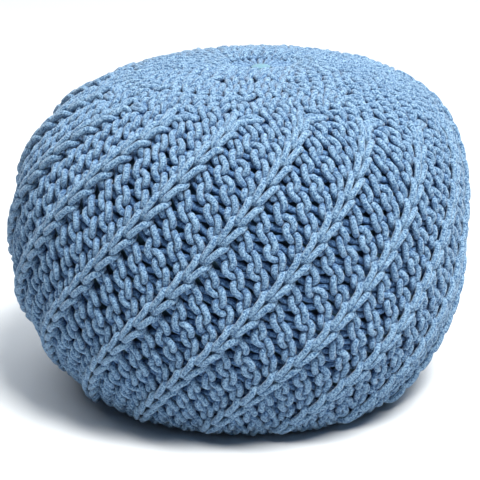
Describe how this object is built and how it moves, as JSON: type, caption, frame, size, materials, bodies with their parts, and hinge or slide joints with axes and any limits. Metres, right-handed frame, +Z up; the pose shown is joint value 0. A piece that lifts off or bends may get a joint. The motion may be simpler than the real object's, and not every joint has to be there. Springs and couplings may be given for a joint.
{
  "type": "knitted cotton pouf",
  "caption": "Round floor pouf, filled tight, with a knitted cotton cord cover whose slanting ribs spiral down from a gathered crown to a flat foot.",
  "frame": {"origin": "middle of the flat foot, on the surface that the pouf stands on", "axes": "+Z up through the gathered crown, -Y towards the side that the picture shows, +X to its right"},
  "size_m": [0.501, 0.501, 0.3562],
  "materials": {
    "cord_cotton": "matt knitted cotton cord",
    "casing_cotton": "matt plain cotton cloth"
  },
  "bodies": {
    "root": {"knitted_cover": "cord_cotton", "casing_disc": "casing_cotton"}
  },
  "joints": []
}
